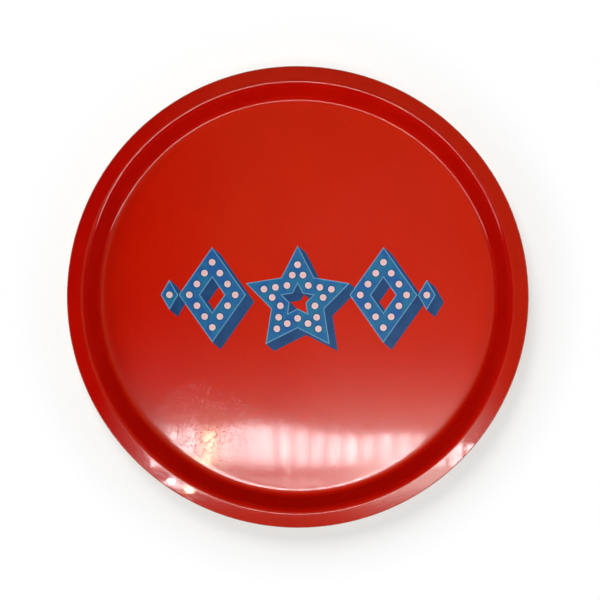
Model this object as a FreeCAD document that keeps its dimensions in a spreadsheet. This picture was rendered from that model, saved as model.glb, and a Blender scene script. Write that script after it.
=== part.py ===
"""A round serving tray, moulded from birch veneers under a printed laminate.

Five thin birch veneers, laid with their grain crossed, are pressed hot between a printed
decor sheet and a clear backing sheet. The stack comes out of the mould as one shallow dish:
a flat floor, a sloping wall and a flat flange. It is then trimmed to a circle and rounded
over along its upper edge. Every layer has the same bends, each nested in the next.

Origin: the middle of the tray, on the surface that it stands on. +Z is up, +Y is towards the
top of the printed design and +X is to the right of it. Lengths are in mm, angles in degrees.
"""
import FreeCAD, Part
import math
import os

import Sketcher

SIZES = {
    "outer_radius": 195.0,  # middle to trimmed edge
    "floor_radius": 168.0,  # middle to where the floor begins to bend up
    "well_depth": 18.0,  # top of the floor to top of the flange
    "cove_radius": 5.0,  # bend from floor to wall, on the upper surface
    "shoulder_radius": 6.0,  # bend from wall to flange, on the upper surface
    "wall_angle": 65.0,  # slope of the wall against the floor
    "sheet_thickness": 0.5,  # decor sheet, and backing sheet
    "veneer_thickness": 0.6,  # each birch veneer
}

UPPERMOST = (0, 0)
# From the top down: a layer, and the stack of (sheets, veneers) that lies above it.
LAYERS = [
    ("decor_sheet", UPPERMOST),
    ("face_veneer", (1, 0)),
    ("upper_cross_veneer", (1, 1)),
    ("core_veneer", (1, 2)),
    ("lower_cross_veneer", (1, 3)),
    ("back_veneer", (1, 4)),
    ("backing_sheet", (1, 5)),
]
WHOLE_STACK = (2, 5)
# The rounding of the upper edge is as deep as the sheet and the veneer that it cuts.
ROUNDED_STACK = (1, 1)

START, END, CENTRE = 1, 2, 3  # the points of a line or an arc in a sketch
SKETCH_ORIGIN = (-1, 1)
HEIGHT_AXIS = -2
QUARTER_TURN = math.pi / 2
WHOLE_TURN = 360.0


def make_size_sheet(doc):
    """Puts the driving dimensions in a sheet, one to a row, each with its alias."""
    sheet = doc.addObject("Spreadsheet::Sheet", "Sizes")
    for row, (alias, value) in enumerate(SIZES.items(), start=1):
        sheet.set(f"A{row}", alias)
        sheet.set(f"B{row}", str(value))
        sheet.setAlias(f"B{row}", alias)
    doc.recompute()


def stack_size(stack):
    """The thickness of a stack of (sheets, veneers)."""
    sheets, veneers = stack
    return sheets * SIZES["sheet_thickness"] + veneers * SIZES["veneer_thickness"]


def stack_formula(stack):
    """The same thickness, as a formula on the size sheet."""
    sheets, veneers = stack
    return f"({sheets} * Sizes.sheet_thickness + {veneers} * Sizes.veneer_thickness)"


# Where a section is first drawn. The sketch's own dimensions then hold it there.
FLOOR_TOP = stack_size(WHOLE_STACK)
FLANGE_TOP = FLOOR_TOP + SIZES["well_depth"]
SLOPE = math.radians(SIZES["wall_angle"])
BOTH_BENDS = SIZES["cove_radius"] + SIZES["shoulder_radius"]
WALL_LENGTH = (SIZES["well_depth"] - BOTH_BENDS * (1 - math.cos(SLOPE))) / math.sin(SLOPE)
WALL_SPREAD = BOTH_BENDS * math.sin(SLOPE) + WALL_LENGTH * math.cos(SLOPE)
ROUNDING = stack_size(ROUNDED_STACK)


def point(radius, height):
    """A point of the section, in the sketch's plane."""
    return FreeCAD.Vector(radius, height, 0)


COVE_CENTRE = point(SIZES["floor_radius"], FLOOR_TOP + SIZES["cove_radius"])
SHOULDER_CENTRE = point(
    SIZES["floor_radius"] + WALL_SPREAD, FLANGE_TOP - SIZES["shoulder_radius"]
)
ROUNDING_CENTRE = point(SIZES["outer_radius"] - ROUNDING, FLANGE_TOP - ROUNDING)


def draw_line(sketch, first, last):
    """Adds a straight line, and returns its number in the sketch."""
    return sketch.addGeometry(Part.LineSegment(first, last))


def draw_arc(sketch, centre, radius, first_angle, last_angle):
    """Adds an arc that runs anticlockwise, and returns its number in the sketch."""
    circle = Part.Circle(centre, FreeCAD.Vector(0, 0, 1), radius)
    return sketch.addGeometry(Part.ArcOfCircle(circle, first_angle, last_angle))


def hold(sketch, kind, *what):
    """Adds a constraint that needs no dimension."""
    sketch.addConstraint(Sketcher.Constraint(kind, *what))


def drive(sketch, name, formula, *constraint):
    """Adds a dimension, and binds it to the size sheet."""
    index = sketch.addConstraint(Sketcher.Constraint(*constraint))
    sketch.renameConstraint(index, name)
    sketch.setExpression(f"Constraints.{name}", formula)


def draw_surface(sketch, side, above):
    """Draws one side of a layer, which has the given stack above it, from the middle outwards.

    Floor, cove, wall, shoulder and flange run on from each other, tangent where they meet.
    Returns their numbers in the sketch.
    """
    depth = stack_size(above)
    cove_radius = SIZES["cove_radius"] + depth
    shoulder_radius = SIZES["shoulder_radius"] - depth
    outwards_and_down = point(math.sin(SLOPE), -math.cos(SLOPE))

    floor_height = FLOOR_TOP - depth
    floor = draw_line(sketch, point(0, floor_height), point(COVE_CENTRE.x, floor_height))
    cove = draw_arc(sketch, COVE_CENTRE, cove_radius, -QUARTER_TURN, SLOPE - QUARTER_TURN)
    wall = draw_line(
        sketch,
        COVE_CENTRE + outwards_and_down * cove_radius,
        SHOULDER_CENTRE - outwards_and_down * shoulder_radius,
    )
    shoulder = draw_arc(
        sketch, SHOULDER_CENTRE, shoulder_radius, QUARTER_TURN, QUARTER_TURN + SLOPE
    )
    flange_height = FLANGE_TOP - depth
    flange = draw_line(
        sketch,
        point(SHOULDER_CENTRE.x, flange_height),
        point(SIZES["outer_radius"], flange_height),
    )

    hold(sketch, "Tangent", floor, END, cove, START)
    hold(sketch, "Tangent", cove, END, wall, START)
    hold(sketch, "Tangent", wall, END, shoulder, END)
    hold(sketch, "Tangent", shoulder, START, flange, START)
    hold(sketch, "Horizontal", floor)
    hold(sketch, "Horizontal", flange)
    hold(sketch, "PointOnObject", floor, START, HEIGHT_AXIS)
    drive(
        sketch,
        f"{side}_cove",
        f"Sizes.cove_radius + {stack_formula(above)}",
        *("Radius", cove, cove_radius),
    )
    drive(
        sketch,
        f"{side}_shoulder",
        f"Sizes.shoulder_radius - {stack_formula(above)}",
        *("Radius", shoulder, shoulder_radius),
    )
    return floor, cove, wall, shoulder, flange


def place_bends(sketch, upper, lower):
    """Places the upper surface by its bends, and centres the lower bends on the same points."""
    _, cove, wall, shoulder, _ = upper
    _, lower_cove, _, lower_shoulder, _ = lower
    hold(sketch, "Coincident", lower_cove, CENTRE, cove, CENTRE)
    hold(sketch, "Coincident", lower_shoulder, CENTRE, shoulder, CENTRE)
    drive(
        sketch,
        "floor_radius",
        "Sizes.floor_radius",
        *("DistanceX", *SKETCH_ORIGIN, cove, CENTRE, COVE_CENTRE.x),
    )
    drive(
        sketch,
        "cove_height",
        f"{stack_formula(WHOLE_STACK)} + Sizes.cove_radius",
        *("DistanceY", *SKETCH_ORIGIN, cove, CENTRE, COVE_CENTRE.y),
    )
    drive(
        sketch,
        "shoulder_height",
        f"{stack_formula(WHOLE_STACK)} + Sizes.well_depth - Sizes.shoulder_radius",
        *("DistanceY", *SKETCH_ORIGIN, shoulder, CENTRE, SHOULDER_CENTRE.y),
    )
    drive(sketch, "wall_slope", "Sizes.wall_angle", "Angle", wall, SLOPE)


def close_with_cut_edge(sketch, upper_flange, lower_flange):
    """Joins the flange's two sides by the straight edge that the trimming cut leaves."""
    edge = draw_line(
        sketch, sketch.getPoint(upper_flange, END), sketch.getPoint(lower_flange, END)
    )
    hold(sketch, "Coincident", edge, START, upper_flange, END)
    hold(sketch, "Coincident", edge, END, lower_flange, END)
    hold(sketch, "Vertical", edge)
    drive(
        sketch,
        "outer_radius",
        "Sizes.outer_radius",
        *("DistanceX", *SKETCH_ORIGIN, lower_flange, END, SIZES["outer_radius"]),
    )


def close_with_rounding(sketch, upper_flange, lower_flange, above, below):
    """Joins the flange's two sides by this layer's share of the rounded upper edge."""
    upper_angle = math.asin(1 - stack_size(above) / ROUNDING)
    lower_angle = math.asin(1 - stack_size(below) / ROUNDING)
    edge = draw_arc(sketch, ROUNDING_CENTRE, ROUNDING, lower_angle, upper_angle)
    drive(sketch, "rounding", stack_formula(ROUNDED_STACK), "Radius", edge, ROUNDING)
    drive(
        sketch,
        "rounding_centre",
        f"Sizes.outer_radius - {stack_formula(ROUNDED_STACK)}",
        *("DistanceX", *SKETCH_ORIGIN, edge, CENTRE, ROUNDING_CENTRE.x),
    )
    hold(sketch, "Coincident", edge, START, lower_flange, END)
    if above == UPPERMOST:
        hold(sketch, "Tangent", edge, END, upper_flange, END)
        return
    hold(sketch, "Coincident", edge, END, upper_flange, END)
    drive(
        sketch,
        "rounding_height",
        f"{stack_formula(WHOLE_STACK)} + Sizes.well_depth - {stack_formula(ROUNDED_STACK)}",
        *("DistanceY", *SKETCH_ORIGIN, edge, CENTRE, ROUNDING_CENTRE.y),
    )


def draw_section(sketch, above, below):
    """Draws the section of the layer between two depths of the stack."""
    upper = draw_surface(sketch, "upper", above)
    lower = draw_surface(sketch, "lower", below)
    place_bends(sketch, upper, lower)
    upper_floor, upper_flange = upper[0], upper[-1]
    lower_floor, lower_flange = lower[0], lower[-1]
    middle = draw_line(
        sketch, sketch.getPoint(upper_floor, START), sketch.getPoint(lower_floor, START)
    )
    hold(sketch, "Coincident", middle, START, upper_floor, START)
    hold(sketch, "Coincident", middle, END, lower_floor, START)
    if stack_size(below) <= ROUNDING:
        close_with_rounding(sketch, upper_flange, lower_flange, above, below)
    else:
        close_with_cut_edge(sketch, upper_flange, lower_flange)


def make_layer(doc, name, above, below):
    """Turns one layer's section about the middle of the tray."""
    body = doc.addObject("PartDesign::Body", name)
    body.Label = name
    body.Placement = FreeCAD.Placement()
    upright_plane = next(
        feature for feature in body.Origin.OriginFeatures if feature.Role == "XZ_Plane"
    )
    sketch = body.newObject("Sketcher::SketchObject", f"{name}_section")
    sketch.AttachmentSupport = [(upright_plane, "")]
    sketch.MapMode = "FlatFace"
    draw_section(sketch, above, below)
    doc.recompute()
    turning = body.newObject("PartDesign::Revolution", f"{name}_turning")
    turning.Profile = sketch
    turning.ReferenceAxis = (sketch, ["V_Axis"])
    turning.Angle = WHOLE_TURN
    return body


def check_layers(doc, layers):
    """Stops before anything is written if an object failed or a layer isn't one whole solid."""
    for item in doc.Objects:
        if "Invalid" in item.State or "Error" in item.State:
            raise RuntimeError(f"{item.Name} failed to build")
    for layer in layers:
        shape = layer.Shape
        if shape.isNull() or not shape.isValid() or len(shape.Solids) != 1:
            raise RuntimeError(f"{layer.Label} is not one valid solid")


def make_tray():
    """Builds every layer of the tray, and writes each to its own file."""
    doc = FreeCAD.newDocument("serving_tray")
    make_size_sheet(doc)
    stacks = [above for _, above in LAYERS] + [WHOLE_STACK]
    layers = []
    for (name, above), below in zip(LAYERS, stacks[1:]):
        layers.append(make_layer(doc, name, above, below))
    doc.recompute()
    check_layers(doc, layers)
    os.makedirs("parts", exist_ok=True)
    for layer in layers:
        layer.Shape.exportStep(f"parts/{layer.Label}.step")
        print(f"{layer.Label}: {layer.Shape.Volume:.0f} mm3")
    return doc


make_tray()
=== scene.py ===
# %% [markdown]
# # A moulded laminate serving tray
# The tray is one hot pressing: five birch veneers between a printed decor sheet, glossy and red,
# and a clear satin backing sheet. The frame holds those seven layers at their real size. This
# lesson dresses them: it turns the two visible sheets finely enough for a mirror finish, prints
# the design on the floor of the tray, grains the wood, and lights the whole on a pale table.

import math

import bpy
from mathutils import Matrix, Vector
from mathutils.geometry import delaunay_2d_cdt, intersect_line_line_2d


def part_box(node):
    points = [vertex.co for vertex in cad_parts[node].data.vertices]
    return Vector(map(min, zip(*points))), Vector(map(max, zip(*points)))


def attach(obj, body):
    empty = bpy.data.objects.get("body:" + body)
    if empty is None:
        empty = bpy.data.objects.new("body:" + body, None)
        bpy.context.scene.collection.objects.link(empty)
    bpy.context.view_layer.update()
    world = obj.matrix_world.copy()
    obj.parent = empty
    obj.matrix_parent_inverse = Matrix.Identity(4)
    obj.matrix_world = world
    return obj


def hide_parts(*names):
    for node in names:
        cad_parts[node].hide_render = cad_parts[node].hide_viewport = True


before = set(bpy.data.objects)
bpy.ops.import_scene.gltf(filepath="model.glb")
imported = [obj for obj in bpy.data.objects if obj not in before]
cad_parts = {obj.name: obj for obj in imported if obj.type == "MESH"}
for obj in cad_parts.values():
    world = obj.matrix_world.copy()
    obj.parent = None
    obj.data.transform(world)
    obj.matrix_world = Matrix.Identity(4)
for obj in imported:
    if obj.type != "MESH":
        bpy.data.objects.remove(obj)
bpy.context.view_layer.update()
MM = 0.001
print("layers:", sorted(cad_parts))

# %% [markdown]
# ## Reading the tray's sizes
# Every size comes from the frame, so the dressing fits whatever tray it is given. How high each
# layer starts gives the thickness of the one below it. The decor sheet's own points give the
# rest: those at the floor's height reach out to where the floor ends, and those at the very top
# begin where the flange does.

# %% Measure the layers
def lowest(layer):
    """The height where a layer starts, in metres."""
    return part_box(layer)[0].z


def radii_at(layer, height):
    """How far from the middle each of a layer's points at this height is."""
    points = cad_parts[layer].data.vertices
    return [math.hypot(p.co.x, p.co.y) for p in points if abs(p.co.z - height) < 0.001 * MM]


sheet_thick = lowest("back_veneer")
veneer_thick = lowest("lower_cross_veneer") - lowest("back_veneer")
floor_top = lowest("decor_sheet") + sheet_thick
flange_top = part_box("decor_sheet")[1].z
floor_radius = max(radii_at("decor_sheet", floor_top))
flange_start = min(radii_at("decor_sheet", flange_top))
rim_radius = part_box("core_veneer")[1].x
whole_thick = floor_top
radii = {"floor": floor_radius, "flange": flange_start, "rim": rim_radius}
thicknesses = {"sheet": sheet_thick, "veneer": veneer_thick, "whole": whole_thick}
print("radii in mm:", {name: round(size / MM, 1) for name, size in radii.items()})
print("thickness in mm:", {name: round(size / MM, 2) for name, size in thicknesses.items()})

# %% [markdown]
# ## The line that the press gives
# A press closes the stack between two polished plates. Seen in section, every surface in the
# stack follows one line: flat floor, an easy cove, a leaning wall, a shoulder rolled outwards and
# a flat flange. A surface deeper in the stack keeps the same bend centres, so its cove is wider
# and its shoulder tighter by just that depth. Each point also carries its lean, the angle between
# straight up and the direction that the surface faces. Exact leans keep a mirror finish smooth. A
# real floor sinks a little before its bend, which is too little to measure but shows in a mirror.
# So the points stay on the true line, and only the leans start early.

# %% Draw the pressed line
COVE = 5 * MM
SHOULDER = 6 * MM
WALL = math.radians(65)
BEND_STEPS = 14
EARLY_LEAN = 0.12
EARLY_REACH = 1.3 * MM
SAG_LEAN = 0.007
SAG_REACH = 7 * MM
BEFORE_BEND = (7, 5, 4, 3, 2, 1.3, 0.7, 0)


def early_lean(before):
    """How far the floor already leans at this distance before its bend."""
    sag = SAG_LEAN * max(0.0, 1 - before / SAG_REACH)
    return EARLY_LEAN * math.exp(-before / EARLY_REACH) + sag


def pressed_line(depth, reach):
    """(radius, height, lean) from the middle out to reach, at this depth below the top surface."""
    floor, flange = floor_top - depth, flange_top - depth
    cove, shoulder = COVE + depth, SHOULDER - depth
    line = [(part * floor_radius, floor, 0.0) for part in (0, 0.35, 0.7, 0.9, 0.95)]
    line += [(floor_radius - gap * MM, floor, -early_lean(gap * MM)) for gap in BEFORE_BEND]
    for step in range(1, BEND_STEPS + 1):
        turn = WALL * step / BEND_STEPS
        lean = turn + early_lean(0) * (1 - turn / WALL)
        height = floor + cove * (1 - math.cos(turn))
        line.append((floor_radius + cove * math.sin(turn), height, -lean))
    for step in range(BEND_STEPS + 1):
        turn = WALL * (1 - step / BEND_STEPS)
        height = flange - shoulder * (1 - math.cos(turn))
        line.append((flange_start - shoulder * math.sin(turn), height, -turn))
    return line + [(reach, flange, 0.0)]


def seen_from_below(line):
    """The same line walked back to the middle, facing the other way."""
    return [(radius, height, lean + math.pi) for radius, height, lean in reversed(line)]


top_line = pressed_line(0, rim_radius - sheet_thick - veneer_thick)
rise = (top_line[-BEND_STEPS - 2][1] - top_line[-BEND_STEPS - 3][1]) / MM
print(f"{len(top_line)} points along the top surface, straight wall rises {rise:.1f} mm")

# %% [markdown]
# ## Turning a sheet on its own axis
# The section is swept round Z as a potter's rib sweeps clay. A sheet is given as runs. Within a
# run the surface is smooth, and where two runs meet there is a true edge, because each face takes
# its leans from its own run. The leans become the mesh's stored normals, so the floor mirrors
# like one flat plate, and the bends mirror like true curves, however few faces they have.

# %% Turn a sheet
TURNS = 360


def turn_sheet(name, runs):
    """A closed sheet made by turning runs of (radius, height, lean) about Z."""
    points, faces, facings, rings = [], [], [], {}

    def ring(radius, height):
        key = (round(radius, 8), round(height, 8))
        if key not in rings:
            first, count = len(points), 1 if radius == 0 else TURNS
            for step in range(count):
                angle = math.tau * step / TURNS
                points.append((radius * math.cos(angle), radius * math.sin(angle), height))
            rings[key] = [first + step % count for step in range(TURNS + 1)]
        return rings[key]

    for run in runs:
        for (r0, z0, lean0), (r1, z1, lean1) in zip(run, run[1:]):
            near, far = ring(r0, z0), ring(r1, z1)
            for step in range(TURNS):
                corners = [(near, step, lean0), (far, step, lean1)]
                corners += [(far, step + 1, lean1), (near, step + 1, lean0)]
                if r0 == 0:
                    corners.pop()
                if r1 == 0:
                    corners.pop(2)
                faces.append([circle[at] for circle, at, lean in corners])
                for circle, at, lean in corners:
                    angle, out = math.tau * at / TURNS, math.sin(lean)
                    facings.append((out * math.cos(angle), out * math.sin(angle), math.cos(lean)))
    mesh = bpy.data.meshes.new(name)
    mesh.from_pydata(points, [], faces)
    mesh.polygons.foreach_set("use_smooth", [True] * len(faces))
    mesh.normals_split_custom_set(facings)
    sheet = bpy.data.objects.new(name, mesh)
    bpy.context.collection.objects.link(sheet)
    return sheet


print(f"a sheet has {TURNS} facets round it, {math.tau * rim_radius / TURNS / MM:.1f} mm wide at the rim")

# %% [markdown]
# ## The two sheets that show
# The decor sheet covers the whole top and runs over the eased upper edge until the sanding has cut
# through it. The backing sheet ends square, where the trimming cut leaves it. Both stand in for
# the coarser sheets of the frame, and both follow the same line as those do.

# %% Make the decor sheet and the backing sheet
easing = sheet_thick + veneer_thick
easing_middle = (rim_radius - easing, flange_top - easing)
last_lean = math.acos(1 - sheet_thick / easing)
EASING_STEPS = 6
eased_edge = []
for step in range(1, EASING_STEPS + 1):
    lean = last_lean * step / EASING_STEPS
    out, up = easing * math.sin(lean), easing * math.cos(lean)
    eased_edge.append((easing_middle[0] + out, easing_middle[1] + up, lean))
decor_back = seen_from_below(pressed_line(sheet_thick, eased_edge[-1][0]))
decor = turn_sheet("decor_top", [top_line + eased_edge, decor_back])

backing_depth = whole_thick - sheet_thick
backing_top = pressed_line(backing_depth, rim_radius)
backing_bottom = seen_from_below(pressed_line(whole_thick, rim_radius))
cut_heights = (backing_top[-1][1], backing_bottom[0][1])
cut_edge = [(rim_radius, height, math.pi / 2) for height in cut_heights]
backing = turn_sheet("backing_underside", [backing_top, cut_edge, backing_bottom])

SHEETS = (
    (decor, "decor_sheet", "decor_laminate"),
    (backing, "backing_sheet", "clear_backing"),
)
for sheet, layer, finish in SHEETS:
    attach(sheet, "root")
    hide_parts(layer)
    print(sheet.name, len(sheet.data.polygons), "faces")

# %% [markdown]
# ## A printed design in the fairground manner
# The paper under the clear surface carries a design of signboard bulbs: blue bands edged with a
# pale keyline, a row of round bulbs along each band, and a navy block shadow thrown down to the
# right. A star stands in the middle, with a lozenge ring and a small lozenge on either side. All
# sides of a star, or of a lozenge, are equally far from its middle, so a band of even width comes
# from simply scaling the outline down.

# %% Lay out the motifs
BAND = 15 * MM
KEYLINE = 0.75 * MM
BULB = 2.85 * MM
HALO = 1.5 * MM
SHADOW = Vector((7.2 * MM, -6.0 * MM))


def star(reach, waist):
    """A five-pointed star, its first point straight up."""
    corners = []
    for step in range(10):
        radius, angle = (waist if step % 2 else reach), math.pi / 2 + math.tau * step / 10
        corners.append(Vector((radius * math.cos(angle), radius * math.sin(angle))))
    return corners


def lozenge(width, height):
    """A lozenge standing on its point."""
    x, y = width / 2, height / 2
    return [Vector((0, y)), Vector((-x, 0)), Vector((0, -y)), Vector((x, 0))]


def motif(outline, middle, bulbs_a_side):
    """A banded motif: its outlines from the edge inwards, and where its bulbs stand."""
    start, end = outline[0], outline[1]
    reach = abs(start.x * end.y - start.y * end.x) / (end - start).length
    ringed = reach > BAND
    insets = [0, KEYLINE] + ([BAND - KEYLINE, BAND] if ringed else [])
    loops = [[middle + p * (1 - inset / reach) for p in outline] for inset in insets]
    bulbs = [middle]
    if ringed:
        path = [middle + p * (1 - BAND / 2 / reach) for p in outline]
        pairs = list(zip(path, path[1:] + path[:1]))
        bulbs = [a.lerp(b, n / bulbs_a_side) for a, b in pairs for n in range(bulbs_a_side)]
    return {"loops": loops, "bulbs": bulbs}


STAR_DROP = Vector((0, -4.5 * MM))
motifs = [motif(star(46.8 * MM, 24 * MM), STAR_DROP, 2)]
for side in (-1, 1):
    motifs.append(motif(lozenge(58 * MM, 82 * MM), Vector((side * 73.5 * MM, 0)), 3))
    motifs.append(motif(lozenge(15 * MM, 26 * MM), Vector((side * 110.5 * MM, 0)), 1))
DESIGN_MIDDLE = Vector((0.5 * MM, 2.5 * MM))
for each in motifs:
    each["loops"] = [[p + DESIGN_MIDDLE for p in loop] for loop in each["loops"]]
    each["bulbs"] = [p + DESIGN_MIDDLE for p in each["bulbs"]]
bulb_places = [place for each in motifs for place in each["bulbs"]]
wide = [p.x for each in motifs for p in each["loops"][0]]
tall = [p.y for each in motifs for p in each["loops"][0]]
print(f"{len(motifs)} motifs, {len(bulb_places)} bulbs")
print(f"design {(max(wide) - min(wide)) / MM:.0f} by {(max(tall) - min(tall)) / MM:.0f} mm")

# %% [markdown]
# ## Which ink lies where
# The inks don't lie on top of each other: each has its own patch of paper, and the patches meet
# edge to edge. At any point of the paper the uppermost ink wins: bulb, keyline, blue, then navy.
# A point is in the block shadow if sliding back along the shadow's direction meets the motif.

# %% Find the ink at a point
def holds(outline, point):
    """True if the point is inside the outline."""
    inside = False
    for a, b in zip(outline, outline[1:] + outline[:1]):
        if (a.y > point.y) != (b.y > point.y):
            if point.x < a.x + (point.y - a.y) * (b.x - a.x) / (b.y - a.y):
                inside = not inside
    return inside


def in_band(loops, point):
    """True if the point is between the outermost loop and the innermost of a ring."""
    return holds(loops[0], point) and not (len(loops) > 2 and holds(loops[-1], point))


def in_shadow(loops, point):
    """True if the motif, slid along the shadow's direction, passes over the point."""
    origin = point - SHADOW
    edges = [pair for loop in (loops[0], loops[-1]) for pair in zip(loop, loop[1:] + loop[:1])]
    if any(intersect_line_line_2d(point, origin, a, b) for a, b in edges):
        return True
    return in_band(loops, origin)


def ink_at(point):
    """The uppermost ink at a point, or None for the bare red."""
    if any((point - bulb).length < BULB * 0.995 for bulb in bulb_places):
        return "bulbs"
    for each in motifs:
        loops = each["loops"]
        if in_band(loops, point):
            blue = holds(loops[1], point) and not (len(loops) > 2 and holds(loops[2], point))
            return "faces" if blue else "keylines"
    if any(in_shadow(each["loops"], point) for each in motifs):
        return "shadows"
    return None


probes = {"star's point": motifs[0]["loops"][0][0] * 0.9, "bulb": bulb_places[0], "paper": SHADOW * 9}
print({spot: ink_at(point) for spot, point in probes.items()})

# %% [markdown]
# ## Cutting the design into patches
# All outlines are laid into one flat net of triangles, whose lines follow every outline, bulb and
# slid corner. No triangle then lies across a border, so its middle tells which ink it belongs to.
# The alternative, one cut of one shape by another for every border, leaves slivers where two
# outlines cross.

# %% Cut the design into patches
BULB_SIDES = 40
SAME_POINT = 1e-5
net_points, net_edges = [], []


def circle(middle, radius):
    """A round outline."""
    angles = [math.tau * step / BULB_SIDES for step in range(BULB_SIDES)]
    return [middle + Vector((radius * math.cos(a), radius * math.sin(a))) for a in angles]


def cut(outline, closed=True):
    """Adds an outline to the lines that the net must follow."""
    first, count = len(net_points), len(outline)
    net_points.extend(outline)
    pairs = count if closed else count - 1
    net_edges.extend((first + n, first + (n + 1) % count) for n in range(pairs))


for each in motifs:
    for loop in each["loops"]:
        cut(loop)
    for loop in (each["loops"][0], each["loops"][-1]):
        cut([p + SHADOW for p in loop])
        for p in loop:
            cut([p, p + SHADOW], closed=False)
for place in bulb_places:
    cut(circle(place, BULB))
    cut(circle(place, BULB + HALO))
    cut(circle(place, BULB * 0.5))
    net_points.append(place)
in_mm = [p / MM for p in net_points]
net = delaunay_2d_cdt(in_mm, net_edges, [], 0, SAME_POINT)
corners_2d, triangles = [p * MM for p in net[0]], net[2]
patches = {"shadows": [], "faces": [], "keylines": [], "bulbs": []}
for triangle in triangles:
    ink = ink_at(sum((corners_2d[n] for n in triangle), Vector((0, 0))) / 3)
    if ink:
        patches[ink].append(triangle)
print({ink: len(found) for ink, found in patches.items()})

# %% [markdown]
# ## Laying the inks as films
# Each ink becomes one thin closed film on the floor of the tray, no thicker than a hair is wide,
# with its patches side by side with the others. A stored value at each corner says how near it is
# to a bulb, and the finish uses it for the bulb's warm middle and for the soft dark ring round it.

# %% Build the ink films
INK_THICK = 0.03 * MM


def bulb_nearness(ink, point):
    """1 at the place of most glow or shade for this ink, fading to 0."""
    gap = min((point - bulb).length for bulb in bulb_places)
    if ink == "bulbs":
        return 1 - min(1, gap / BULB)
    return max(0.0, min(1.0, 1 - (gap - BULB) / HALO))


def lay_ink(ink, found):
    """A closed film over this ink's triangles."""
    used = sorted({n for triangle in found for n in triangle})
    place = {n: at for at, n in enumerate(used)}
    above = len(used)
    points = [(*corners_2d[n], floor_top) for n in used]
    points += [(*corners_2d[n], floor_top + INK_THICK) for n in used]
    faces, borders = [], {}
    for triangle in found:
        a, b, c = (place[n] for n in triangle)
        faces.append((a + above, b + above, c + above))
        faces.append((c, b, a))
        for pair in ((a, b), (b, c), (c, a)):
            borders[pair] = True
    for a, b in borders:
        if (b, a) not in borders:
            faces.append((a, b, b + above, a + above))
    mesh = bpy.data.meshes.new(f"print_{ink}")
    mesh.from_pydata(points, [], faces)
    near = mesh.attributes.new("bulb_nearness", "FLOAT", "POINT")
    near.data.foreach_set("value", [bulb_nearness(ink, corners_2d[n]) for n in used] * 2)
    film = bpy.data.objects.new(f"print_{ink}", mesh)
    bpy.context.collection.objects.link(film)
    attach(film, "root")
    return film


films = {ink: lay_ink(ink, found) for ink, found in patches.items()}
print({film.name: len(film.data.polygons) for film in films.values()})

# %% [markdown]
# ## Tools for the finishes
# A finish here is a small network of shader nodes. A few short helpers keep the recipes readable:
# they make a node and fill its inputs, join two sockets, mix two colours by a share, stretch a
# value to a new range and do sums on values.

# %% Helpers for shader nodes
WHITE = (1, 1, 1, 1)


def add(tree, kind, fill=(), **settings):
    """A new node with its settings, and its inputs filled with values or joined to sockets."""
    made = tree.nodes.new(kind)
    for name, value in settings.items():
        setattr(made, name, value)
    for name, value in dict(fill).items():
        feed(tree, value, made.inputs[name])
    return made


def feed(tree, value, socket):
    """Joins a socket to this one, or just sets its value."""
    if isinstance(value, bpy.types.NodeSocket):
        tree.links.new(value, socket)
    else:
        socket.default_value = value


def mix_colors(tree, share, first, second):
    """The first colour drifting to the second as the share goes from 0 to 1."""
    made = add(tree, "ShaderNodeMix", {0: share, 6: first, 7: second}, data_type="RGBA")
    return made.outputs[2]


def stretch(tree, value, low, high, new_low=0.0, new_high=1.0, kind="SMOOTHSTEP"):
    """A value from low to high, brought to the range from new_low to new_high."""
    ends = {"Value": value, "From Min": low, "From Max": high, "To Min": new_low, "To Max": new_high}
    return add(tree, "ShaderNodeMapRange", ends, interpolation_type=kind).outputs["Result"]


def noise(tree, place, scale, detail=2.0, roughness=0.5):
    """A cloudy pattern, from 0 to 1."""
    fill = {"Vector": place, "Scale": scale, "Detail": detail, "Roughness": roughness}
    return add(tree, "ShaderNodeTexNoise", fill).outputs["Fac"]


def value_of(tree, operation, first, second):
    """What one operation makes of two values."""
    return add(tree, "ShaderNodeMath", {0: first, 1: second}, operation=operation).outputs["Value"]


def times(tree, first, second):
    """Two values multiplied."""
    return value_of(tree, "MULTIPLY", first, second)


def scaled(tree, color, share):
    """A colour made weaker or stronger by a share that may change over the surface."""
    fill = {0: color, "Scale": share}
    return add(tree, "ShaderNodeVectorMath", fill, operation="SCALE").outputs["Vector"]


print("node helpers:", [tool.__name__ for tool in (add, feed, mix_colors, stretch, noise, times)])

# %% [markdown]
# ## Groups and materials
# A group is a recipe that several materials use, such as the pressed gloss. It is built once, with
# named inputs and outputs, and each material places it with values of its own. The shader itself
# stays in the material.

# %% Helpers for groups and materials
FLOAT, COLOR, VECTOR = "NodeSocketFloat", "NodeSocketColor", "NodeSocketVector"


def start_group(name, inputs, outputs):
    """A node group, given its inputs as (name, kind, value) and its outputs as (name, kind)."""
    tree = bpy.data.node_groups.new(name, "ShaderNodeTree")
    for label, kind, value in inputs:
        tree.interface.new_socket(label, in_out="INPUT", socket_type=kind).default_value = value
    for label, kind in outputs:
        tree.interface.new_socket(label, in_out="OUTPUT", socket_type=kind)
    return tree, add(tree, "NodeGroupInput").outputs, add(tree, "NodeGroupOutput").inputs


def use_group(tree, group, **values):
    """The outputs of a group placed in a material, with its inputs filled."""
    made = tree.nodes.new("ShaderNodeGroup")
    made.node_tree = group
    for name, value in values.items():
        feed(tree, value, made.inputs[name])
    return made.outputs


def start_material(name):
    """A new material, its node tree and its surface shader."""
    material = bpy.data.materials.new(name)
    material.use_nodes = True
    return material, material.node_tree, material.node_tree.nodes["Principled BSDF"]


def start_bare_material(name):
    """A new material without a shader, its node tree and the socket that wants one."""
    material, tree, surface = start_material(name)
    tree.nodes.remove(surface)
    return material, tree, tree.nodes["Material Output"].inputs["Surface"]


def wear(piece, material):
    """Puts one material on a piece, in the place of any other."""
    piece.data.materials.clear()
    piece.data.materials.append(material)


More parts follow.
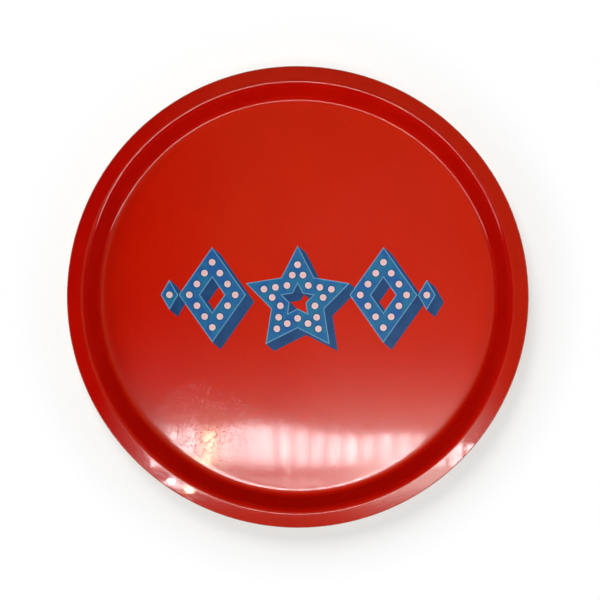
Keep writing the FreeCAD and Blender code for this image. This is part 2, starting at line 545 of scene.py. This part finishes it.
print("a group's sockets are of", (FLOAT, COLOR, VECTOR))

# %% [markdown]
# ## Pressed gloss
# The clear melamine surface copies the polished plate of the press, but resin shrinks a little as
# it cures over the paper's fibres, and that leaves long soft waves. The plate was also worn at one
# spot, where the face has fine pimples like those of orange peel. Neither can be seen in the
# colour: they show only where a bright reflection breaks up. The group gives a roughness that
# wanders slightly and a normal bent by both reliefs.

# %% The pressed gloss group
gloss, given, result = start_group(
    "pressed_gloss",
    [("Roughness", FLOAT, 0.1), ("Peel", FLOAT, 1.0), ("Waves", FLOAT, 1.0)],
    [("Roughness", FLOAT), ("Normal", VECTOR)],
)
WORN_SPOT = (-0.080, -0.108, 0.0)
place = add(gloss, "ShaderNodeTexCoord").outputs["Object"]
long_waves = noise(gloss, place, 11.0, 1.0, 0.4)
swell = {"Height": long_waves, "Strength": given["Waves"], "Distance": 0.20 * MM}
waved = add(gloss, "ShaderNodeBump", swell).outputs["Normal"]
pimples = stretch(gloss, noise(gloss, place, 660.0, 0.0), 0.60, 0.78)
between = {0: place, 1: WORN_SPOT}
away = add(gloss, "ShaderNodeVectorMath", between, operation="DISTANCE").outputs["Value"]
from_worn = value_of(gloss, "ADD", away, times(gloss, noise(gloss, place, 40.0), 0.06))
worn = times(gloss, given["Peel"], stretch(gloss, from_worn, 0.035, 0.075, 1.0, 0.10))
peeled = {"Height": pimples, "Strength": worn, "Distance": 0.05 * MM, "Normal": waved}
feed(gloss, add(gloss, "ShaderNodeBump", peeled).outputs["Normal"], result["Normal"])
rubbed = stretch(gloss, noise(gloss, place, 120.0, 4.0, 0.6), 0.3, 0.7, 0.85, 1.15)
feed(gloss, times(gloss, rubbed, given["Roughness"]), result["Roughness"])
print("pressed gloss:", len(gloss.nodes), "nodes")

# %% [markdown]
# ## Ink on paper
# Printed ink is never quite even. It soaks in more where the paper is open and less on a fibre, so
# a solid colour has a soft mottle and a fine grain. This group takes a colour and the colour that
# it drifts towards, mixes them by a soft noise fixed to the tray, and grains the result.

# %% The ink group
ink_on_paper, given, result = start_group(
    "ink_on_paper",
    [("Color", COLOR, WHITE), ("Drift", COLOR, WHITE), ("Mottle", FLOAT, 0.5), ("Size", FLOAT, 60.0)],
    [("Color", COLOR)],
)
place = add(ink_on_paper, "ShaderNodeTexCoord").outputs["Object"]
patchy = stretch(ink_on_paper, noise(ink_on_paper, place, given["Size"], 3.0, 0.55), 0.32, 0.68)
share = times(ink_on_paper, patchy, given["Mottle"])
drifted = mix_colors(ink_on_paper, share, given["Color"], given["Drift"])
fibres = stretch(ink_on_paper, noise(ink_on_paper, place, 900.0), 0.25, 0.75, 0.95, 1.05)
feed(ink_on_paper, scaled(ink_on_paper, drifted, fibres), result["Color"])
print("ink on paper:", len(ink_on_paper.nodes), "nodes")

# %% [markdown]
# ## Birch
# Rotary-cut birch is pale and nearly plain: long faint streaks, a slow drift from cream to tan,
# and short darker flecks, all drawn out along the grain. The group stretches noise along X, and a
# material that needs the cross grain turns its place by a quarter turn first.

# %% The birch group
CREAM, TAN = (0.68, 0.48, 0.295, 1), (0.56, 0.365, 0.205, 1)
STREAK, FLECK = (0.42, 0.25, 0.125, 1), (0.27, 0.145, 0.07, 1)
birch, given, result = start_group(
    "birch_grain",
    [("Place", VECTOR, (0, 0, 0))],
    [("Color", COLOR), ("Height", FLOAT)],
)


def drawn_out(stretching, scale, detail):
    """Noise whose clouds are pulled out along the grain."""
    pulled = add(birch, "ShaderNodeVectorMath", {0: given["Place"], 1: stretching}, operation="MULTIPLY")
    return noise(birch, pulled.outputs["Vector"], scale, detail, 0.6)


streaks = drawn_out((0.06, 1, 1), 420.0, 3.0)
figure = drawn_out((0.25, 1, 1), 22.0, 2.0)
flecks = drawn_out((0.12, 1, 1), 900.0, 1.0)
cream_to_tan = mix_colors(birch, stretch(birch, figure, 0.3, 0.7), CREAM, TAN)
streaked = mix_colors(birch, stretch(birch, streaks, 0.38, 0.75, 0, 0.55), cream_to_tan, STREAK)
flecked = mix_colors(birch, stretch(birch, flecks, 0.63, 0.72, 0, 0.6), streaked, FLECK)
feed(birch, flecked, result["Color"])
feed(birch, streaks, result["Height"])
print("birch:", len(birch.nodes), "nodes")

# %% [markdown]
# ## The red of the decor sheet
# The paper is printed a warm signal red. The red of the bends and the flange is set a little deeper than
# the floor's.
# That change of tone is tied to the distance from the middle of the tray. So is the gloss: years
# of cups have dulled the floor a little, and the flange has kept its sharper shine. At the eased
# edge the sanding has cut into the paper, and the pale pink given there is a painted highlight
# along the rim, laid over the cut paper's own tone.

# %% The decor finish
FLOOR_HAZE, FLANGE_HAZE = 0.064, 0.030


def finish_gloss(tree, surface, roughness=FLOOR_HAZE):
    """Gives a printed piece the clear pressed face that all of the decor sheet shares."""
    face = use_group(tree, gloss, Roughness=roughness, Peel=1.0, Waves=1.0)
    feed(tree, face["Roughness"], surface.inputs["Roughness"])
    feed(tree, face["Normal"], surface.inputs["Normal"])
    surface.inputs["IOR"].default_value = 1.52


FLOOR_RED, FLOOR_DRIFT = (0.50, 0.0060, 0.0003, 1), (0.52, 0.0080, 0.0006, 1)
DEEPER_RED, DEEPER_DRIFT = (0.41, 0.0025, 0.0004, 1), (0.44, 0.0040, 0.0007, 1)
CUT_PAPER_HIGHLIGHT, CUT_HIGHLIGHT_DRIFT = (0.46, 0.130, 0.090, 1), (0.34, 0.080, 0.050, 1)
edge_start = easing_middle[0]
decor_red, tree, surface = start_material("decor_red")
place = add(tree, "ShaderNodeTexCoord").outputs["Object"]
flattened = add(tree, "ShaderNodeVectorMath", {0: place, 1: (1, 1, 0)}, operation="MULTIPLY")
across = {0: flattened.outputs["Vector"]}
from_middle = add(tree, "ShaderNodeVectorMath", across, operation="LENGTH").outputs["Value"]
floor_inks = {"Color": FLOOR_RED, "Drift": FLOOR_DRIFT}
deeper_inks = {"Color": DEEPER_RED, "Drift": DEEPER_DRIFT}
floor_ink = use_group(tree, ink_on_paper, Mottle=0.8, Size=14.0, **floor_inks)
deeper_ink = use_group(tree, ink_on_paper, Mottle=0.8, Size=30.0, **deeper_inks)
# From the floor's edge outwards the red is set deeper than on the floor.
pressed = stretch(tree, from_middle, floor_radius - 2 * MM, floor_radius + COVE)
red = mix_colors(tree, pressed, floor_ink["Color"], deeper_ink["Color"])
height = add(tree, "ShaderNodeSeparateXYZ", {0: place}).outputs["Z"]
at_edge = stretch(tree, from_middle, edge_start, edge_start + 0.1 * MM, kind="LINEAR")
below_print = stretch(tree, height, flange_top - 0.02 * MM, flange_top - 0.06 * MM, kind="LINEAR")
# Painted highlight: the sanded edge of the rim is coloured a pale pink, brighter than the cut paper
# itself.
cut_paper_highlight = use_group(tree, ink_on_paper, Color=CUT_PAPER_HIGHLIGHT, Drift=CUT_HIGHLIGHT_DRIFT, Mottle=1.0, Size=400.0)
shown = mix_colors(tree, times(tree, at_edge, below_print), red, cut_paper_highlight["Color"])
feed(tree, shown, surface.inputs["Base Color"])
haze = stretch(tree, from_middle, flange_start, flange_start + 3 * MM, FLOOR_HAZE, FLANGE_HAZE)
finish_gloss(tree, surface, roughness=haze)
wear(decor, decor_red)
print("decor sheet wears", decor.data.materials[0].name)

# %% [markdown]
# ## Four inks
# The blue of the bands is mottled towards teal, and each bulb throws a soft darker ring on it. A
# bulb is a warm white disc, pinker in its middle, as if lit from behind. Keyline and block shadow
# are plain inks with a little mottle. All four lie under the same clear face as the red.

# %% The ink finishes
INKS = {
    "shadows": ((0.009, 0.045, 0.145, 1), (0.013, 0.068, 0.190, 1), 0.8, 70.0),
    "faces": ((0.012, 0.092, 0.305, 1), (0.014, 0.148, 0.290, 1), 1.0, 90.0),
    "keylines": ((0.135, 0.310, 0.470, 1), (0.100, 0.250, 0.410, 1), 0.6, 120.0),
    "bulbs": ((0.660, 0.560, 0.600, 1), (0.640, 0.520, 0.560, 1), 0.5, 200.0),
}
NEAR_BULB = {"faces": (0.012, 0.045, 0.110, 1), "bulbs": (0.840, 0.400, 0.370, 1)}
for ink, (color, drift, mottle, size) in INKS.items():
    material, tree, surface = start_material(f"ink_{ink}")
    shade = use_group(tree, ink_on_paper, Color=color, Drift=drift, Mottle=mottle, Size=size)["Color"]
    if ink in NEAR_BULB:
        near = add(tree, "ShaderNodeAttribute", attribute_name="bulb_nearness").outputs["Fac"]
        shade = mix_colors(tree, stretch(tree, near, 0.0, 1.0), shade, NEAR_BULB[ink])
    feed(tree, shade, surface.inputs["Base Color"])
    finish_gloss(tree, surface)
    wear(films[ink], material)
print("inks:", list(INKS))

# %% [markdown]
# ## Veneers and backing
# The veneers show only at the trimmed edge of the rim, where the saw and the sanding have browned
# them slightly. The backing is a clear satin film, so what it shows is the last veneer, warmed by
# the resin, with the film's own soft sheen on top. The paper-thin relief of the grain comes
# through the film.

# %% The wood finishes
def birch_material(name, quarter_turns, tint, roughness, coat, relief):
    """Birch along X, or along Y after one quarter turn, darkened by a tint."""
    material, tree, surface = start_material(name)
    place = add(tree, "ShaderNodeTexCoord").outputs["Object"]
    turned = {"Vector": place, "Rotation": (0, 0, quarter_turns * math.pi / 2)}
    along = add(tree, "ShaderNodeMapping", turned)
    grain = use_group(tree, birch, Place=along.outputs["Vector"])
    tinted = add(tree, "ShaderNodeVectorMath", {0: grain["Color"], 1: tint}, operation="MULTIPLY")
    feed(tree, tinted.outputs["Vector"], surface.inputs["Base Color"])
    ridges = {"Height": grain["Height"], "Strength": 0.6, "Distance": relief}
    relief_bump = add(tree, "ShaderNodeBump", ridges)
    feed(tree, relief_bump.outputs["Normal"], surface.inputs["Normal"])
    surface.inputs["Roughness"].default_value = roughness
    surface.inputs["Coat Weight"].default_value = coat
    surface.inputs["Coat Roughness"].default_value = 0.3
    return material


long_edge = birch_material("birch_long_edge", 0, (0.80, 0.72, 0.64), 0.55, 0.0, 0.03 * MM)
cross_edge = birch_material("birch_cross_edge", 1, (0.52, 0.43, 0.36), 0.6, 0.0, 0.04 * MM)
for layer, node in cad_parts.items():
    if layer.endswith("veneer"):
        wear(node, cross_edge if "cross" in layer else long_edge)
satin_backing = birch_material("satin_backing", 0, (0.98, 0.90, 0.80), 0.38, 0.25, 0.02 * MM)
wear(backing, satin_backing)
print("veneers and backing dressed")

# %% [markdown]
# ## The table
# The tray lies on a pale table that is seamless with the room. To the eye, and in anything shiny,
# the table and the room are white paper. Close to the tray the table takes its soft shadow, and
# further out it glows evenly, so that no edge or horizon shows from any side. Seen from below, the
# table lets the sight through, so that the underside of the tray can be looked at.

# %% Make the table and the room
def rectangle(width, height):
    """Four corners round the origin, in the order that makes a face look up."""
    x, y = width / 2, height / 2
    return [(-x, -y, 0), (x, -y, 0), (x, y, 0), (-x, y, 0)]


def flat_sheet(name, width, height):
    """A flat rectangle, facing up, with its middle at the origin."""
    mesh = bpy.data.meshes.new(name)
    mesh.from_pydata(rectangle(width, height), [], [(0, 1, 2, 3)])
    flat = bpy.data.objects.new(name, mesh)
    bpy.context.collection.objects.link(flat)
    return flat


def any_of(tree, rays):
    """1 for any of these kinds of ray."""
    path = add(tree, "ShaderNodeLightPath").outputs
    total = path[rays[0]]
    for kind in rays[1:]:
        total = value_of(tree, "MAXIMUM", total, path[kind])
    return total


SEEN = ("Is Camera Ray", "Is Glossy Ray", "Is Transmission Ray")
PAPER_SHARE, ROOM_LIGHT = 0.86, 0.17
table = flat_sheet("table", 12, 12)
table.location.z = -0.2 * MM
table.visible_shadow = False
pale, tree, skin = start_bare_material("pale_table")
place = add(tree, "ShaderNodeTexCoord").outputs["Object"]
tooth = stretch(tree, noise(tree, place, 260.0, 3.0), 0.3, 0.7, 0.985, 1.0)
seen = any_of(tree, SEEN)
away = add(tree, "ShaderNodeVectorMath", {0: place}, operation="LENGTH").outputs["Value"]
fade = (rim_radius + 12 * MM, rim_radius + 60 * MM)
shown_paper = times(tree, stretch(tree, away, *fade, 0.45, 0.0), tooth)
reflected = add(tree, "ShaderNodeMix", {0: seen, 2: PAPER_SHARE, 3: shown_paper}).outputs[0]
own_light = stretch(tree, away, *fade, 0.55, 1.0)
diffuse = add(tree, "ShaderNodeBsdfDiffuse", {"Color": reflected})
glow = add(tree, "ShaderNodeEmission", {"Strength": times(tree, seen, own_light)})
paper = add(tree, "ShaderNodeAddShader", {0: diffuse.outputs[0], 1: glow.outputs[0]})
behind = add(tree, "ShaderNodeNewGeometry").outputs["Backfacing"]
clear = add(tree, "ShaderNodeBsdfTransparent")
through = add(tree, "ShaderNodeMixShader", {0: behind, 1: paper.outputs[0], 2: clear.outputs[0]})
feed(tree, through.outputs[0], skin)
wear(table, pale)

world = bpy.data.worlds.new("white_room")
bpy.context.scene.world = world
world.use_nodes = True
tree = world.node_tree
shown = stretch(tree, any_of(tree, SEEN), 0.0, 1.0, ROOM_LIGHT, 1.0, "LINEAR")
feed(tree, shown, tree.nodes["Background"].inputs["Strength"])
tree.nodes["Background"].inputs["Color"].default_value = WHITE
print("table", [round(side, 2) for side in table.dimensions])

# %% [markdown]
# ## The studio
# The tray is a mirror, so where a lamp hangs matters more than how bright it is. Every lamp here
# is a mesh that glows on its front, because a mesh can have any outline and shows in a mirror just
# as it is. Its glow wanders a little from place to place, as that of a real lamp does.

# %% Helpers for lamps
CEILING = 1.42
TUBE_WIDTH = 0.025
WAVE_START, WAVE_LENGTH = 0.14, 0.42
SLANT_START, SLANT = 0.10, 8


def glowing_mesh(name, corners, faces, brightness, tint=WHITE):
    """A lamp of flat faces; brightness is what a mirror would show of its front."""
    mesh = bpy.data.meshes.new(name)
    mesh.from_pydata(corners, [], faces)
    lamp = bpy.data.objects.new(name, mesh)
    bpy.context.collection.objects.link(lamp)
    lamp.visible_camera = False
    glowing, tree, skin = start_bare_material(name)
    seen_from = add(tree, "ShaderNodeNewGeometry").outputs
    drift = noise(tree, seen_from["Position"], 22.0, 1.0)
    uneven = stretch(tree, drift, 0.3, 0.7, 0.87 * brightness, 1.13 * brightness, "LINEAR")
    front = stretch(tree, seen_from["Backfacing"], 0.0, 1.0, 1.0, 0.0, "LINEAR")
    light = add(tree, "ShaderNodeEmission", {"Color": tint, "Strength": times(tree, uneven, front)})
    feed(tree, light.outputs[0], skin)
    wear(lamp, glowing)
    return lamp


def panel(name, middle, width, height, brightness, facing=None, tint=WHITE):
    """A lamp that faces straight down, or faces a point."""
    lamp = glowing_mesh(name, rectangle(width, height), [(0, 1, 2, 3)], brightness, tint)
    below = Vector((middle[0], middle[1], 0))
    lamp.location = middle
    lamp.rotation_mode = "QUATERNION"
    lamp.rotation_quaternion = ((facing or below) - Vector(middle)).to_track_quat("Z", "Y")
    return lamp


def row_lamp(name, start, end, width, brightness):
    """A long thin lamp on the ceiling, from one place to another."""
    start, end = Vector((*start, CEILING)), Vector((*end, CEILING))
    across = (end - start).cross(Vector((0, 0, 1))).normalized() * width / 2
    corners = [start - across, end - across, end + across, start + across]
    if (corners[1] - corners[0]).cross(corners[2] - corners[0]).z > 0:
        corners.reverse()
    return glowing_mesh(name, corners, [(0, 1, 2, 3)], brightness)


def tube_bank(name, first, count, near, far, brightness, tint=WHITE, pitch=0.035, sway=0.012):
    """Side-by-side tubes on the ceiling; their near ends follow a wave, then a slant."""
    corners, faces = [], []
    for tube in range(count):
        x = first + pitch * tube
        wave = near + sway * math.cos(math.tau * (x + WAVE_START) / WAVE_LENGTH)
        slant = near - SLANT * sway * (x - SLANT_START)
        end = min(wave, slant)
        at = len(corners)
        for side, along in ((-1, far), (-1, end), (1, end), (1, far)):
            corners.append((x + side * TUBE_WIDTH / 2, along, CEILING))
        faces.append((at, at + 1, at + 2, at + 3))
    return glowing_mesh(name, corners, faces, brightness, tint)


print("ceiling at", CEILING, "m, tubes", TUBE_WIDTH, "m wide")

# %% [markdown]
# ## Ceiling lamps
# A row of short tubes in front of the tray gives the one bright band across its floor. They are
# of unequal age: one has gone warm, two are new. A thin row further out reaches the flange, where
# two small spots glint as well. Two long rows run out to the sides, and the bends of the tray
# draw them as fine lines. The right row has a dimmer end, where its line fades.

# %% Hang the ceiling lamps
NEAR_END, FAR_END = -0.325, -0.391
WARM = (1.0, 0.98, 0.68, 1)
tube_bank("tubes_left", -0.3363, 3, -0.310, FAR_END, 22.0)
tube_bank("warm_tube", -0.2293, 1, NEAR_END, FAR_END, 32.0, WARM)
tube_bank("tubes_middle", -0.1943, 3, NEAR_END, FAR_END, 18.5, pitch=0.028)
tube_bank("tubes_right", -0.1113, 4, NEAR_END, FAR_END, 21.5)
tube_bank("newest_tubes", 0.0287, 2, NEAR_END, FAR_END, 25.5)
tube_bank("tubes_far_right", 0.0987, 11, NEAR_END, FAR_END, 21.5)
tube_bank("edge_tubes", -0.3213, 14, -0.424, -0.439, 17.0, sway=0.0)
panel("left_spot", (-0.303, -0.425, CEILING), 0.016, 0.011, 75.0)
panel("right_spot", (-0.265, -0.441, CEILING), 0.018, 0.010, 80.0, tint=WARM)
row_lamp("left_row", (-0.45, -0.47), (-1.70, -0.62), 0.07, 12.0)
row_lamp("right_row", (0.50, -0.45), (1.90, -0.85), 0.07, 12.0)
row_lamp("right_row_end", (1.90, -0.85), (2.08, -0.52), 0.05, 6.0)
print("ceiling lamps hung")

# %% [markdown]
# ## Softboxes
# The even light comes from softboxes at the sides, the front and close overhead, and one under the
# table lights the underside. A mirror would show them as pale squares, so they are kept out of
# reflections, don't block each other's light and light only the tray. The table has a softbox of
# its own, behind and to the left, which throws the soft shadow to the front and right.

# %% Hang the softboxes
TRAY = Vector((0, 0, floor_top))
tray_only = bpy.data.collections.new("tray_only")
for thing in [decor, backing, *films.values(), *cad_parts.values()]:
    tray_only.objects.link(thing)
table_only = bpy.data.collections.new("table_only")
table_only.objects.link(table)
SOFTBOXES = (
    ("front_softbox", (0.25, -1.80, 1.65), 2.4, 1.4, 0.50, tray_only),
    ("overhead_softbox", (0.08, 0.03, 0.36), 0.2, 0.2, 3.0, tray_only),
    ("left_softbox", (-1.30, -0.35, 0.72), 0.6, 0.6, 8.5, tray_only),
    ("right_softbox", (0.85, -0.32, 0.90), 0.5, 0.5, 7.0, tray_only),
    ("low_softbox", (0.0, 0.0, -0.90), 1.2, 1.2, 3.2, tray_only),
    ("table_softbox", (-0.40, 1.00, 1.22), 0.7, 0.7, 12.0, table_only),
)
for name, place, width, height, brightness, lit in SOFTBOXES:
    softbox = panel(name, place, width, height, brightness, facing=TRAY)
    softbox.visible_glossy = False
    softbox.visible_shadow = False
    softbox.light_linking.receiver_collection = lit
print("softboxes:", [softbox[0] for softbox in SOFTBOXES])

# %% [markdown]
# ## The lit ceiling
# Light from the tubes spills over the ceiling round them. In the tray it is the haze on both
# sides of the bright band. The spill is strongest by the tubes, dies away with the distance from
# them, and grows to the right. A faint warmer light lies over the rest of the ceiling, all but
# its left end.

# %% Light the ceiling
def fading(tree, distance, reach):
    """1 up to no distance, then fading out over this reach."""
    share = value_of(tree, "MINIMUM", times(tree, distance, -1 / reach), 0.0)
    return value_of(tree, "POWER", math.e, share)


def only_in_mirrors(thing):
    """Leaves a stage piece to be seen in reflections and nowhere else."""
    for way in ("camera", "diffuse", "shadow"):
        setattr(thing, f"visible_{way}", False)


SPILL_TINT, FAINT_TINT = (1.0, 1.0, 0.92), (1.0, 0.95, 0.35)
SPILL_START, SPILL_END = -0.295, -0.430
ceiling = flat_sheet("lit_ceiling", 1.3, 1.3)
ceiling.location = (0.0, -0.1, CEILING + 0.02)
lit, tree, skin = start_bare_material("lit_ceiling")
lit_place = add(tree, "ShaderNodeNewGeometry").outputs["Position"]
x, y = add(tree, "ShaderNodeSeparateXYZ", {0: lit_place}).outputs[:2]
nearer = value_of(tree, "SUBTRACT", y, SPILL_START)
further = value_of(tree, "SUBTRACT", SPILL_END, y)
by_the_tubes = stretch(tree, x, -0.12, 0.08, 1.3, 2.5)
over_the_tubes = times(tree, stretch(tree, x, -0.46, -0.34), stretch(tree, x, 0.40, 0.28))
past_the_tubes = times(tree, stretch(tree, y, -0.36, -0.40), stretch(tree, x, 0.03, 0.11, 0.9, 5.0))
strongest = value_of(tree, "ADD", by_the_tubes, past_the_tubes)
faded = times(tree, fading(tree, nearer, 0.068), fading(tree, further, 0.03))
spill = times(tree, times(tree, faded, over_the_tubes), strongest)
faint = times(tree, stretch(tree, x, -0.42, -0.12), 0.25)
both = {0: scaled(tree, SPILL_TINT, spill), 1: scaled(tree, FAINT_TINT, faint)}
glow = add(tree, "ShaderNodeVectorMath", both, operation="ADD")
light = add(tree, "ShaderNodeEmission", {"Color": glow.outputs["Vector"], "Strength": 1.0})
feed(tree, light.outputs[0], skin)
wear(ceiling, lit)
only_in_mirrors(ceiling)
print("ceiling lit at", CEILING, "m")

# %% [markdown]
# ## A black drape
# Whatever isn't a lamp must be dark in the mirror, or the red turns to a milky pink. So a tent of
# black cloth closes the rest of the view from the tray. Only reflections see it: it takes no
# light from the tray, and the white room is still there for the eye.

# %% Hang the black drape
black, tree, surface = start_material("black_cloth")
weave = noise(tree, add(tree, "ShaderNodeTexCoord").outputs["Object"], 300.0)
feed(tree, stretch(tree, weave, 0, 1, 0.001, 0.003), surface.inputs["Base Color"])
surface.inputs["Roughness"].default_value = 1.0
surface.inputs["Specular IOR Level"].default_value = 0.0
TENT_RADIUS, TENT_HEIGHT = 2.3, 2.4
tent_roof = [(0, TENT_HEIGHT, math.pi), (TENT_RADIUS, TENT_HEIGHT, math.pi)]
tent_side = [(TENT_RADIUS, height, -math.pi / 2) for height in (TENT_HEIGHT, 0.02)]
cloth = turn_sheet("black_drape", [tent_roof, tent_side])
wear(cloth, black)
only_in_mirrors(cloth)
print("drape", [round(side, 2) for side in cloth.dimensions])

# %% [markdown]
# ## The camera
# The tray is looked at from above, from about a metre, through a short telephoto lens. The camera
# stands a touch to the right of the middle and beyond it, so the floor, which lies deeper than the
# rim, seems shifted a little within the rim.

# %% Place the camera
lens = bpy.data.cameras.new("overhead_camera")
lens.sensor_width = 36
lens.lens = 71.25
camera = bpy.data.objects.new("overhead_camera", lens)
bpy.context.collection.objects.link(camera)
camera.location = (35 * MM, 35 * MM, flange_top + 1.0)
aim = Vector((3.1 * MM, -1.2 * MM, flange_top))
back = (camera.location - aim).normalized()
right = Vector((0, 1, 0)).cross(back).normalized()
camera.rotation_mode = "QUATERNION"
camera.rotation_quaternion = Matrix((right, back.cross(right), back)).transposed().to_quaternion()
bpy.context.scene.camera = camera
bpy.context.scene.view_settings.view_transform = "Standard"
print("camera", [round(part, 3) for part in camera.location])
